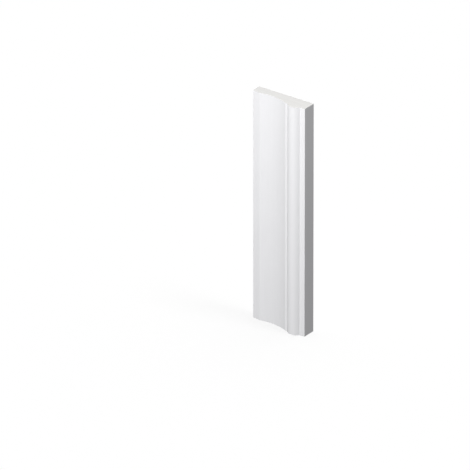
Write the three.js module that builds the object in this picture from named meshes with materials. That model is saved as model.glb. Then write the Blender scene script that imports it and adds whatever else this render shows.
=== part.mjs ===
import * as THREE from 'three';

// Short length of a moulded dado rail, standing upright on a square-cut end.
// Millimetres. X runs across the width, from the thin edge to the thick edge.
// The moulded front faces -Y, the flat back faces +Y, and the length runs up +Z.

// Driving dimensions
// Thickness is always measured out from the flat back.
const LENGTH = 260;
const THIN_EDGE_THICKNESS = 10.5;
const BEVEL_WIDTH = 9.4;
const RIDGE_THICKNESS = 12.1;
const COVE_WIDTH = 34.9;
const COVE_DEPTH = 2.85;
const INNER_FILLET_WIDTH = 2.8;
const FILLET_THICKNESS = 15.7;
const BEAD_WIDTH = 15.7;
const BEAD_RISE = 4.3;
const OUTER_FILLET_WIDTH = 6.2;

// Flat facets along each arc of the section
const ARC_FACETS = 24;

// Places across the width, counted from the thin edge
const RIDGE = BEVEL_WIDTH;
const COVE_END = RIDGE + COVE_WIDTH;
const BEAD_START = COVE_END + INNER_FILLET_WIDTH;
const BEAD_END = BEAD_START + BEAD_WIDTH;
const WIDTH = BEAD_END + OUTER_FILLET_WIDTH;
const FULL_THICKNESS = FILLET_THICKNESS + BEAD_RISE;

// Painted finish
const PAINT_COLOUR = 0xf2f2f3;
const PAINT_ROUGHNESS = 0.5;

// Point of the cross-section, so many millimetres across and out from the back
function sectionPoint(across, out) {
  return new THREE.Vector2(across - WIDTH / 2, FULL_THICKNESS / 2 - out);
}

// Adds an arc from where the outline stands to end. A positive rise swells the front, and
// a negative one hollows it.
function archTo(outline, end, rise) {
  const start = outline.currentPoint.clone();
  const chord = end.clone().sub(start);
  const height = Math.abs(rise);
  const radius = ((chord.length() / 2) ** 2 + height ** 2) / (2 * height);
  const inwards = new THREE.Vector2(-chord.y, chord.x).normalize();
  const middle = start.clone().add(end).multiplyScalar(0.5);
  const centre = middle.addScaledVector(inwards, Math.sign(rise) * (radius - height));
  const from = start.sub(centre).angle();
  const to = end.clone().sub(centre).angle();
  outline.absarc(centre.x, centre.y, radius, from, to, rise < 0);
}

// Cross-section, counter-clockwise from the back of the thin edge
function makeSection() {
  const outline = new THREE.Shape();
  const thinBack = sectionPoint(0, 0);
  const thinFront = sectionPoint(0, THIN_EDGE_THICKNESS);
  const ridge = sectionPoint(RIDGE, RIDGE_THICKNESS);
  const coveEnd = sectionPoint(COVE_END, FILLET_THICKNESS);
  const beadStart = sectionPoint(BEAD_START, FILLET_THICKNESS);
  const beadEnd = sectionPoint(BEAD_END, FILLET_THICKNESS);
  const thickFront = sectionPoint(WIDTH, FILLET_THICKNESS);
  const thickBack = sectionPoint(WIDTH, 0);

  outline.moveTo(thinBack.x, thinBack.y);
  outline.lineTo(thinFront.x, thinFront.y);
  outline.lineTo(ridge.x, ridge.y);
  archTo(outline, coveEnd, -COVE_DEPTH);
  outline.lineTo(beadStart.x, beadStart.y);
  archTo(outline, beadEnd, BEAD_RISE);
  outline.lineTo(thickFront.x, thickFront.y);
  outline.lineTo(thickBack.x, thickBack.y);
  outline.closePath();
  return outline;
}

// The rail, one solid length cut square at both ends.
// An extruded arc has two facets for each of its curve segments.
function makeRail() {
  const geometry = new THREE.ExtrudeGeometry(makeSection(), {
    depth: LENGTH,
    curveSegments: ARC_FACETS / 2,
    bevelEnabled: false,
  });
  const paint = new THREE.MeshStandardMaterial({
    color: PAINT_COLOUR,
    roughness: PAINT_ROUGHNESS,
    metalness: 0,
  });
  const rail = new THREE.Mesh(geometry, paint);
  rail.name = 'dado_rail';
  return rail;
}

const part = new THREE.Group();
part.name = 'dado_rail_length';
part.add(makeRail());

export default part;
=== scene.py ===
"""A short length of painted dado rail, standing on its cut end on a pale studio floor."""

import math

import bmesh
import bpy
from bpy.props import FloatProperty, FloatVectorProperty, IntProperty, PointerProperty
from mathutils import Matrix, Vector


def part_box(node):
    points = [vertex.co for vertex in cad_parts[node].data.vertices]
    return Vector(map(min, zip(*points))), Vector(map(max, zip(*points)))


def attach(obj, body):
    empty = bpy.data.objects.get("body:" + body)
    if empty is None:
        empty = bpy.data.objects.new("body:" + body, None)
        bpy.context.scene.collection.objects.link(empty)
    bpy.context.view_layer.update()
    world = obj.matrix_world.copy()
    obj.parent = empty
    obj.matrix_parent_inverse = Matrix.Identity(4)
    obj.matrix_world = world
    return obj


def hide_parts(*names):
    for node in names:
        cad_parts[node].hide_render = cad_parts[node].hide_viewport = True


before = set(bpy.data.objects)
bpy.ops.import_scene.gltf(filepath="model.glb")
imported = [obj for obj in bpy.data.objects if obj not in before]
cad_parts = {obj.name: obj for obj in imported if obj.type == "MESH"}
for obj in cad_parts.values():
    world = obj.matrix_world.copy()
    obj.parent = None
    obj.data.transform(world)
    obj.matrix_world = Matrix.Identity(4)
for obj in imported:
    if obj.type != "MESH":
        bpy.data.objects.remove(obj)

bl_info = {
    "name": "Dado rail length",
    "version": (1, 0, 0),
    "blender": (4, 5, 0),
    "location": "3D View > Sidebar > Dado rail",
    "description": "Makes a painted length of dado rail and the pale studio it stands in",
    "category": "Add Mesh",
}

# Everything is in metres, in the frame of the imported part: the length runs up Z, the moulded
# front faces -Y, the flat back faces +Y, and the thick edge is at +X.

NODE = "dado_rail"
BODY = "root"
LOWEST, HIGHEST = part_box(NODE)

MM = 0.001
FACTOR = {"min": 0.0, "max": 1.0, "subtype": "FACTOR"}
LENGTH = {"min": 0.0, "subtype": "DISTANCE", "unit": "LENGTH", "precision": 5}
COLOUR = {"subtype": "COLOR", "size": 3, "min": 0.0, "max": 1.0}
ANGLE = {"subtype": "ANGLE", "unit": "ROTATION"}
UP = Vector((0, 0, 1))

# Points of the section closer than this are one point
MERGE_DISTANCE = 0.001 * MM
# Edges that turn by more than this are sharp, and paint eases them
SHARP_ANGLE = math.radians(12)
# Share of a step or a normal that lies along Z, above which it counts as upright
UPRIGHT = 0.9

# Depth below a face within which the paint takes that face's finish
SKIN = 0.1 * MM
# Place of the Object output among those of Texture Coordinate
OBJECT_OUTPUT = 3
# Middle value of a noise pattern
MIDDLE = 0.5
# Share of the streaks in the mottle, the rest being clouds, and how strongly it shows
STREAK_SHARE = 0.5
MOTTLE_GAIN = 1.8
# Share of the fibres in the grain of the ends, the rest being saw marks, and how strongly it shows
FIBRE_SHARE = 0.6
GRAIN_GAIN = 2.2
# How far the streaks and the clouds swing the roughness of the coat
STREAK_DULLING = 0.10
CLOUD_DULLING = 0.08
# Height of each pattern in the surface
STIPPLE_RELIEF = 0.006 * MM
STREAK_RELIEF = 0.004 * MM
PEEL_RELIEF = 0.02 * MM
END_RELIEF = 0.05 * MM
BACK_RELIEF = 0.03 * MM

# The photograph's frame, and where the middle of the rail's lower end stands in it
PHOTO_SIDE_PIXELS = 470
FOOT_PIXEL = (280.52, 325.87)

# How far each lamp hangs from the rail's middle
LAMP_DISTANCE = 1.3
SOFTBOXES = (
    # name, azimuth and elevation in degrees, side in metres, power in watts
    ("key", 0, 40, 0.6, 15.45),
    ("high_fill", 42, 62, 0.6, 6.4),
    ("back_fill", 222, 0, 0.3, 17),
)
SUNS = (
    # name, azimuth, elevation and spread in degrees, strength
    ("high_right", 96, 65, 12, 0.686),
    ("sky_behind", 165, 65, 110, 1.96),
)

# Strength of the white surroundings, as the camera sees them and as they light the rail
SEEN_WORLD = 1.0
LIGHTING_WORLD = 0.25

# Half the side of the square floor
FLOOR_HALF_SIDE = 40
# The floor's glow makes it just white where no shadow falls. Its own grey is dark, because on a
# paler one the light thrown by the white rail would hide the soft shadows.
FLOOR_GREY = 0.2
FLOOR_GLOW = 0.798


class RailSizes(bpy.types.PropertyGroup):
    """Sizes of the section. Thickness is measured out from the flat back."""

    thin_edge: FloatProperty(
        name="Thin edge",
        description="Thickness at the thin edge",
        default=10.5 * MM,
        **LENGTH,
    )
    bevel_width: FloatProperty(
        name="Bevel width",
        description="Width of the flat bevel along the thin edge",
        default=9.4 * MM,
        **LENGTH,
    )
    ridge: FloatProperty(
        name="Ridge",
        description="Thickness at the ridge between the bevel and the cove",
        default=12.1 * MM,
        **LENGTH,
    )
    cove_width: FloatProperty(
        name="Cove width",
        description="Width of the broad hollow",
        default=34.9 * MM,
        **LENGTH,
    )
    cove_depth: FloatProperty(
        name="Cove depth",
        description="Depth of the hollow below a straight line across it",
        default=2.85 * MM,
        **LENGTH,
    )
    inner_fillet: FloatProperty(
        name="Inner fillet",
        description="Width of the flat strip between the cove and the bead",
        default=2.8 * MM,
        **LENGTH,
    )
    fillet_thickness: FloatProperty(
        name="Fillet thickness",
        description="Thickness at the two flat strips beside the bead",
        default=15.7 * MM,
        **LENGTH,
    )
    bead_width: FloatProperty(
        name="Bead width",
        description="Width of the round bead between the two flat strips",
        default=15.7 * MM,
        **LENGTH,
    )
    paint_easing: FloatProperty(
        name="Paint easing",
        description="How far paint rounds the sharp edges along the length",
        default=0.35 * MM,
        **LENGTH,
    )
    cut_easing: FloatProperty(
        name="Cut easing",
        description="How far the edges of the two sawn ends are eased",
        default=0.2 * MM,
        **LENGTH,
    )
    cove_steps: IntProperty(
        name="Cove steps",
        description="Strips across the cove",
        default=64,
        min=8,
    )
    bead_steps: IntProperty(
        name="Bead steps",
        description="Strips across the bead",
        default=64,
        min=8,
    )
    easing_steps: IntProperty(
        name="Easing steps",
        description="Strips round each eased edge",
        default=3,
        min=1,
    )


class PaintSettings(bpy.types.PropertyGroup):
    """Colours and gloss of the paint, with a painted highlight on the bevel."""

    coat_colour: FloatVectorProperty(
        name="Coat colour",
        description="White coat on the moulded front and the thick edge",
        default=(0.80, 0.80, 0.8165),
        **COLOUR,
    )
    # Painted highlight: a lighter coat on the bevel and the thin edge that stands in for the bevel
    # catching more light than the cove
    bevel_highlight_colour: FloatVectorProperty(
        name="Bevel colour",
        description="Coat on the bevel and the thin edge, a little brighter than in the cove",
        default=(0.83, 0.83, 0.8465),
        **COLOUR,
    )
    shade_colour: FloatVectorProperty(
        name="Shade colour",
        description="Slightly duller white where the coat is thinner",
        default=(0.765, 0.765, 0.779),
        **COLOUR,
    )
    back_colour: FloatVectorProperty(
        name="Back colour",
        description="Thin sealing coat on the flat back",
        default=(0.765, 0.763, 0.755),
        **COLOUR,
    )
    back_shade: FloatVectorProperty(
        name="Back shade",
        description="Colour of the back where its coat is thinner",
        default=(0.71, 0.707, 0.695),
        **COLOUR,
    )
    end_colour: FloatVectorProperty(
        name="End colour",
        description="Thin sealing coat on the two sawn ends",
        default=(0.73, 0.725, 0.715),
        **COLOUR,
    )
    end_shade: FloatVectorProperty(
        name="End shade",
        description="Colour of the ends where the coat has sunk between the fibres",
        default=(0.64, 0.633, 0.617),
        **COLOUR,
    )
    coat_roughness: FloatProperty(
        name="Coat roughness",
        description="Roughness of the satin coat",
        default=0.46,
        **FACTOR,
    )
    sealed_roughness: FloatProperty(
        name="Sealed roughness",
        description="Roughness of the thin coat on the back and the ends",
        default=0.92,
        **FACTOR,
    )


class StageSettings(bpy.types.PropertyGroup):
    """Where the camera stands and how much it takes in."""

    camera_azimuth: FloatProperty(
        name="Camera azimuth",
        description="Turn of the camera from the rail's front towards its thick edge",
        default=math.radians(36.1),
        **ANGLE,
    )
    camera_elevation: FloatProperty(
        name="Camera elevation",
        description="Height of the camera above the horizon",
        default=math.radians(26.4),
        **ANGLE,
    )
    lens: FloatProperty(
        name="Lens",
        description="Focal length, long enough to keep the uprights almost parallel",
        default=1500,
        min=1,
        unit="CAMERA",
    )
    pixel_size: FloatProperty(
        name="Pixel size",
        description="Size of one of the photograph's pixels at the rail's foot",
        default=1.0274 * MM,
        **LENGTH,
    )


class Wire:
    """A shader value that takes part in sums, products and comparisons as a number does."""

    def __init__(self, tree, socket):
        self.tree = tree
        self.socket = socket

    def maths(self, operation, *others):
        settings = {"operation": operation}
        return self.tree.node("ShaderNodeMath", self, *others, settings=settings)[0]

    def __add__(self, other):
        return self.maths("ADD", other)

    __radd__ = __add__

    def __mul__(self, other):
        return self.maths("MULTIPLY", other)

    __rmul__ = __mul__

    def __sub__(self, other):
        return self.maths("SUBTRACT", other)

    def __rsub__(self, other):
        return self * -1 + other

    def __gt__(self, other):
        return self.maths("GREATER_THAN", other)

    def __lt__(self, other):
        return self.maths("LESS_THAN", other)


class Tree:
    """A material's or a world's node tree, filled one node at a time."""

    def __init__(self, owner):
        owner.use_nodes = True
        self.nodes = owner.node_tree.nodes
        self.links = owner.node_tree.links
        self.nodes.clear()

    def node(self, kind, *values, settings=None, **named):
        """Adds a node and returns its outputs.

        Its settings are made first. Values go to its sockets in their order, and named ones to
        the socket of that name, such as base_color for Base Color.
        """
        made = self.nodes.new(kind)
        for name, value in (settings or {}).items():
            setattr(made, name, value)
        sockets = [s for s in made.inputs if s.enabled]
        by_name = {s.name.replace(" ", "_").lower(): s for s in sockets}
        wanted = list(zip(sockets, values))
        wanted += [(by_name[name], value) for name, value in named.items()]
        for socket, value in wanted:
            if isinstance(value, Wire):
                self.links.new(value.socket, socket)
            else:
                socket.default_value = value
        return [Wire(self, s) for s in made.outputs if s.enabled]


class SectionPen:
    """Draws a closed outline in a bmesh, one edge or arc after another."""

    def __init__(self, mesh, start):
        self.mesh = mesh
        self.tip = bmesh.ops.create_vert(mesh, co=start)["vert"][0]

    def line_to(self, place):
        """Draws a straight edge to a place."""
        drawn = bmesh.ops.extrude_vert_indiv(self.mesh, verts=[self.tip])
        self.tip = drawn["verts"][0]
        bmesh.ops.translate(self.mesh, verts=[self.tip], vec=place - self.tip.co)

    def arc_to(self, place, rise, steps):
        """Draws an arc to a place, swelling by a positive rise, hollow by a negative one."""
        chord = place - self.tip.co
        height = abs(rise)
        radius = ((chord.length / 2) ** 2 + height**2) / (2 * height)
        inwards = UP.cross(chord).normalized() * math.copysign(1, rise)
        centre = self.tip.co + chord / 2 + inwards * (radius - height)
        sweep = 2 * math.atan2(chord.length / 2, radius - height)
        turned = bmesh.ops.spin(
            self.mesh,
            geom=[self.tip],
            cent=centre,
            axis=UP,
            angle=math.copysign(sweep, rise),
            steps=steps,
        )
        self.tip = next(v for v in turned["geom_last"] if isinstance(v, bmesh.types.BMVert))

    def close(self):
        """Joins the last point to the first, and fills the outline with one face."""
        bmesh.ops.remove_doubles(self.mesh, verts=self.mesh.verts, dist=MERGE_DISTANCE)
        return bmesh.ops.contextual_create(self.mesh, geom=self.mesh.edges)["faces"][0]


def section_point(across, out):
    """A point of the section, so far across from the thin edge and out from the back."""
    return Vector((LOWEST.x + across, HIGHEST.y - out, LOWEST.z))


def draw_section(mesh, sizes):
    """Draws the section on the lower end, counter-clockwise seen from above, as one face."""
    width = HIGHEST.x - LOWEST.x
    full_thickness = HIGHEST.y - LOWEST.y
    fillet = sizes.fillet_thickness
    cove_end = sizes.bevel_width + sizes.cove_width
    bead_start = cove_end + sizes.inner_fillet
    bead_end = bead_start + sizes.bead_width

    pen = SectionPen(mesh, section_point(0, 0))
    pen.line_to(section_point(0, sizes.thin_edge))
    pen.line_to(section_point(sizes.bevel_width, sizes.ridge))
    pen.arc_to(section_point(cove_end, fillet), -sizes.cove_depth, sizes.cove_steps)
    pen.line_to(section_point(bead_start, fillet))
    pen.arc_to(section_point(bead_end, fillet), full_thickness - fillet, sizes.bead_steps)
    pen.line_to(section_point(width, fillet))
    pen.line_to(section_point(width, 0))
    pen.line_to(section_point(0, 0))
    return pen.close()


def is_sharp_upright(edge):
    """True for a sharp edge that runs up the rail's length."""
    step = edge.verts[1].co - edge.verts[0].co
    return abs(step.z) > UPRIGHT * step.length and edge.calc_face_angle() > SHARP_ANGLE


def ease(mesh, edges, offset, steps):
    """Rounds edges over by an offset."""
    bmesh.ops.bevel(
        mesh,
        geom=edges,
        offset=offset,
        offset_type="OFFSET",
        affect="EDGES",
        segments=steps,
        profile=0.5,
        material=-1,
    )


def make_rail_mesh(sizes):
    """The rail's mesh: the section drawn up its length, with its sharp edges eased."""
    mesh = bmesh.new()
    section = draw_section(mesh, sizes)
    grown = bmesh.ops.extrude_face_region(mesh, geom=[section], use_keep_orig=True)["geom"]
    top = [v for v in grown if isinstance(v, bmesh.types.BMVert)]
    bmesh.ops.translate(mesh, verts=top, vec=UP * (HIGHEST.z - LOWEST.z))
    bmesh.ops.recalc_face_normals(mesh, faces=mesh.faces)

    long_edges = [e for e in mesh.edges if is_sharp_upright(e)]
    ease(mesh, long_edges, sizes.paint_easing, sizes.easing_steps)
    ends = [f for f in mesh.faces if abs(f.normal.z) > UPRIGHT]
    ease(mesh, [e for f in ends for e in f.edges], sizes.cut_easing, sizes.easing_steps)

    for face in mesh.faces:
        face.smooth = True
    data = bpy.data.meshes.new("moulded_rail")
    mesh.to_mesh(data)
    mesh.free()
    return data


def noise(tree, place, scale, detail, packing=(1, 1, 1), roughness=0.5):
    """A noise pattern. It is drawn out along an axis on which its packing is small."""
    multiply = {"operation": "MULTIPLY"}
    packed = tree.node("ShaderNodeVectorMath", place, packing, settings=multiply)[0]
    return tree.node(
        "ShaderNodeTexNoise", packed, scale=scale, detail=detail, roughness=roughness
    )[0]


def mix(first, second, share):
    """A mix of two patterns that takes this share of the first."""
    return first * share + second * (1 - share)


def swing(pattern, gain):
    """A pattern with its swings about the middle value made larger."""
    return (pattern - MIDDLE) * gain + MIDDLE


class PaintPatterns:
    """The patterns in the paint, and masks for the faces that they lie on."""

    def __init__(self, tree, sizes):
        place = tree.node("ShaderNodeTexCoord")[OBJECT_OUTPUT]
        x, y, z = tree.node("ShaderNodeSeparateXYZ", place)
        self.on_end = (z < LOWEST.z + SKIN) + (z > HIGHEST.z - SKIN)
        self.on_back = y > HIGHEST.y - SKIN
        # Mask of the bevel and the thin edge, where the painted highlight goes
        self.bevel_highlight_mask = x < LOWEST.x + sizes.bevel_width

        self.stipple = noise(tree, place, scale=1500, detail=3)
        self.orange_peel = noise(tree, place, scale=420, detail=1)
        self.streaks = noise(tree, place, scale=700, detail=2, packing=(1, 1, 0.012))
        self.clouds = noise(tree, place, scale=22, detail=3)
        self.fibres = noise(tree, place, scale=850, detail=4, packing=(1, 2.2, 1), roughness=0.7)
        self.saw_marks = noise(tree, place, scale=620, detail=2, packing=(0.04, 1, 1))


def paint_colour(tree, patterns, settings):
    """White with a faint mottle and a painted highlight on the bevel, duller on the back, and with
    a grain on the ends.
    """

    def blend(factor, first, second):
        colours = {"data_type": "RGBA"}
        return tree.node("ShaderNodeMix", factor=factor, a=first, b=second, settings=colours)[0]

    def opaque(colour):
        return (*colour, 1)

    mottle = swing(mix(patterns.streaks, patterns.clouds, STREAK_SHARE), MOTTLE_GAIN)
    grain = swing(mix(patterns.fibres, patterns.saw_marks, FIBRE_SHARE), GRAIN_GAIN)
    # Painted highlight: the bevel and the thin edge take a lighter coat than the cove, in place of
    # light that the cove gets less of
    bright = blend(
        patterns.bevel_highlight_mask, opaque(settings.coat_colour), opaque(settings.bevel_highlight_colour)
    )
    coat = blend(mottle, bright, opaque(settings.shade_colour))
    back = blend(mottle, opaque(settings.back_colour), opaque(settings.back_shade))
    end = blend(grain, opaque(settings.end_colour), opaque(settings.end_shade))
    return blend(patterns.on_end, blend(patterns.on_back, coat, back), end)


def paint_roughness(patterns, settings):
    """Satin, a little duller in some streaks and clouds, and nearly matt where only sealed."""
    sealed = patterns.on_end.maths("MAXIMUM", patterns.on_back)
    streaked = (patterns.streaks - MIDDLE) * STREAK_DULLING
    clouded = (patterns.clouds - MIDDLE) * CLOUD_DULLING
    coat = settings.coat_roughness + streaked + clouded
    return coat * (1 - sealed) + sealed * settings.sealed_roughness


def paint_relief(tree, patterns):
    """A fine stipple everywhere, with fibres on the back, and saw marks too on the ends."""
    stippled = patterns.stipple * STIPPLE_RELIEF + patterns.orange_peel * PEEL_RELIEF
    streaked = patterns.streaks * STREAK_RELIEF
    sawn = (patterns.fibres + patterns.saw_marks) * END_RELIEF * patterns.on_end
    fibrous = patterns.fibres * BACK_RELIEF * patterns.on_back
    height = stippled + streaked + sawn + fibrous
    return tree.node("ShaderNodeBump", strength=1.0, distance=1.0, height=height)[0]


def make_paint(settings, sizes):
    """Satin white paint, with a thin sealing coat on the back and the ends."""
    paint = bpy.data.materials.new("satin_white_paint")
    tree = Tree(paint)
    patterns = PaintPatterns(tree, sizes)
    shader = tree.node(
        "ShaderNodeBsdfPrincipled",
        base_color=paint_colour(tree, patterns, settings),
        roughness=paint_roughness(patterns, settings),
        normal=paint_relief(tree, patterns),
    )[0]
    tree.node("ShaderNodeOutputMaterial", surface=shader)
    return paint


class DADO_OT_add_rail(bpy.types.Operator):
    """Make the moulded rail, painted, in the place of its solid"""

    bl_idname = "dado.add_rail"
    bl_label = "Add moulded rail"

    def execute(self, context):
        scene = context.scene
        rail = bpy.data.objects.new("moulded_rail", make_rail_mesh(scene.dado_sizes))
        rail.data.materials.append(make_paint(scene.dado_paint, scene.dado_sizes))
        rail.modifiers.new("even_shading", "WEIGHTED_NORMAL")
        scene.collection.objects.link(rail)
        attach(rail, BODY)
        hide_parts(NODE)
        return {"FINISHED"}


def direction(azimuth, elevation):
    """The way from the rail to something seen at this azimuth and elevation, in radians."""
    return Vector(
        (
            math.sin(azimuth) * math.cos(elevation),
            -math.cos(azimuth) * math.cos(elevation),
            math.sin(elevation),
        )
    )


def facing(back):
    """The turn of a camera or lamp that looks against back, with its top upwards."""
    return back.to_track_quat("Z", "Y")


def add_camera(scene, settings):
    """The camera at the photograph's viewing angle, with the rail where the photograph has it."""
    data = bpy.data.cameras.new("long_lens")
    data.lens = settings.lens
    frame_side = PHOTO_SIDE_PIXELS * settings.pixel_size
    distance = frame_side * data.lens / data.sensor_width
    data.clip_end = 2 * distance

    back = direction(settings.camera_azimuth, settings.camera_elevation)
    turn = facing(back)
    middle = PHOTO_SIDE_PIXELS / 2
    aside = (middle - FOOT_PIXEL[0]) * settings.pixel_size
    above = (FOOT_PIXEL[1] - middle) * settings.pixel_size
    target = turn @ Vector((aside, above, 0))
    camera = bpy.data.objects.new("long_lens", data)
    camera.matrix_world = Matrix.LocRotScale(target + back * distance, turn, None)
    scene.collection.objects.link(camera)
    scene.camera = camera


def lit_set(name, floor, state):
    """A set of what a lamp lights: the floor alone for INCLUDE, all but the floor for EXCLUDE."""
    lit = bpy.data.collections.new(name)
    lit.objects.link(floor)
    lit.collection_objects[0].light_linking.link_state = state
    return lit


def hang_lamp(scene, lamp, azimuth, elevation, lit):
    """Hangs a lamp that faces the rail's middle and lights only what is in its lit set."""
    back = direction(math.radians(azimuth), math.radians(elevation))
    place = (LOWEST + HIGHEST) / 2 + back * LAMP_DISTANCE
    holder = bpy.data.objects.new(lamp.name, lamp)
    holder.matrix_world = Matrix.LocRotScale(place, facing(back), None)
    holder.visible_camera = False
    holder.light_linking.receiver_collection = lit
    scene.collection.objects.link(holder)


def add_lamps(scene, floor):
    """Softboxes that light the rail alone, and suns that light the floor alone."""
    not_floor = lit_set("all_but_floor", floor, "EXCLUDE")
    only_floor = lit_set("floor_alone", floor, "INCLUDE")
    for name, azimuth, elevation, side, power in SOFTBOXES:
        lamp = bpy.data.lights.new(name, "AREA")
        lamp.size = side
        lamp.energy = power
        hang_lamp(scene, lamp, azimuth, elevation, not_floor)
    for name, azimuth, elevation, spread, strength in SUNS:
        lamp = bpy.data.lights.new(name, "SUN")
        lamp.angle = math.radians(spread)
        lamp.energy = strength
        hang_lamp(scene, lamp, azimuth, elevation, only_floor)


def add_world(scene):
    """White surroundings, dimmer as a light than as the camera sees them."""
    world = bpy.data.worlds.new("studio")
    tree = Tree(world)
    white = (1, 1, 1, 1)
    seen = tree.node("ShaderNodeBackground", color=white, strength=SEEN_WORLD)[0]
    lighting = tree.node("ShaderNodeBackground", color=white, strength=LIGHTING_WORLD)[0]
    by_camera = tree.node("ShaderNodeLightPath")[0]
    mixed = tree.node("ShaderNodeMixShader", by_camera, lighting, seen)[0]
    tree.node("ShaderNodeOutputWorld", surface=mixed)
    scene.world = world


def make_floor_finish():
    """A matt grey that glows, so that only its shadows show."""
    finish = bpy.data.materials.new("pale_floor")
    tree = Tree(finish)
    shader = tree.node(
        "ShaderNodeBsdfPrincipled",
        base_color=(FLOOR_GREY, FLOOR_GREY, FLOOR_GREY, 1),
        roughness=1.0,
        specular_ior_level=0.0,
        emission_color=(1, 1, 1, 1),
        emission_strength=FLOOR_GLOW,
    )[0]
    tree.node("ShaderNodeOutputMaterial", surface=shader)
    return finish


def add_floor(scene):
    """The pale floor, which throws no light back on the rail."""
    mesh = bmesh.new()
    bmesh.ops.create_grid(mesh, x_segments=1, y_segments=1, size=FLOOR_HALF_SIDE)
    data = bpy.data.meshes.new("pale_floor")
    mesh.to_mesh(data)
    mesh.free()
    data.materials.append(make_floor_finish())
    floor = bpy.data.objects.new("pale_floor", data)
    floor.visible_diffuse = False
    floor.visible_glossy = False
    scene.collection.objects.link(floor)
    return floor


class DADO_OT_add_stage(bpy.types.Operator):
    """Make the pale floor, the soft studio light and the camera"""

    bl_idname = "dado.add_stage"
    bl_label = "Add studio"

    def execute(self, context):
        scene = context.scene
        scene.view_settings.view_transform = "Standard"
        add_camera(scene, scene.dado_stage)
        add_world(scene)
        add_lamps(scene, add_floor(scene))
        return {"FINISHED"}


class DADO_PT_sidebar(bpy.types.Panel):
    """Sizes, colours and the buttons that make the rail and its studio"""

    bl_label = "Dado rail"
    bl_space_type = "VIEW_3D"
    bl_region_type = "UI"
    bl_category = "Dado rail"

    def draw(self, context):
        scene = context.scene
        self.list_settings(scene.dado_sizes)
        self.list_settings(scene.dado_paint)
        self.layout.operator(DADO_OT_add_rail.bl_idname)
        self.list_settings(scene.dado_stage)
        self.layout.operator(DADO_OT_add_stage.bl_idname)

    def list_settings(self, group):
        for name in type(group).__annotations__:
            self.layout.prop(group, name)


CLASSES = (
    RailSizes,
    PaintSettings,
    StageSettings,
    DADO_OT_add_rail,
    DADO_OT_add_stage,
    DADO_PT_sidebar,
)


def register():
    for made in CLASSES:
        bpy.utils.register_class(made)
    bpy.types.Scene.dado_sizes = PointerProperty(type=RailSizes)
    bpy.types.Scene.dado_paint = PointerProperty(type=PaintSettings)
    bpy.types.Scene.dado_stage = PointerProperty(type=StageSettings)


def unregister():
    del bpy.types.Scene.dado_stage
    del bpy.types.Scene.dado_paint
    del bpy.types.Scene.dado_sizes
    for made in reversed(CLASSES):
        bpy.utils.unregister_class(made)


def main():
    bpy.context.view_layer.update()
    register()
    bpy.ops.dado.add_stage()
    bpy.ops.dado.add_rail()


if __name__ == "__main__":
    main()
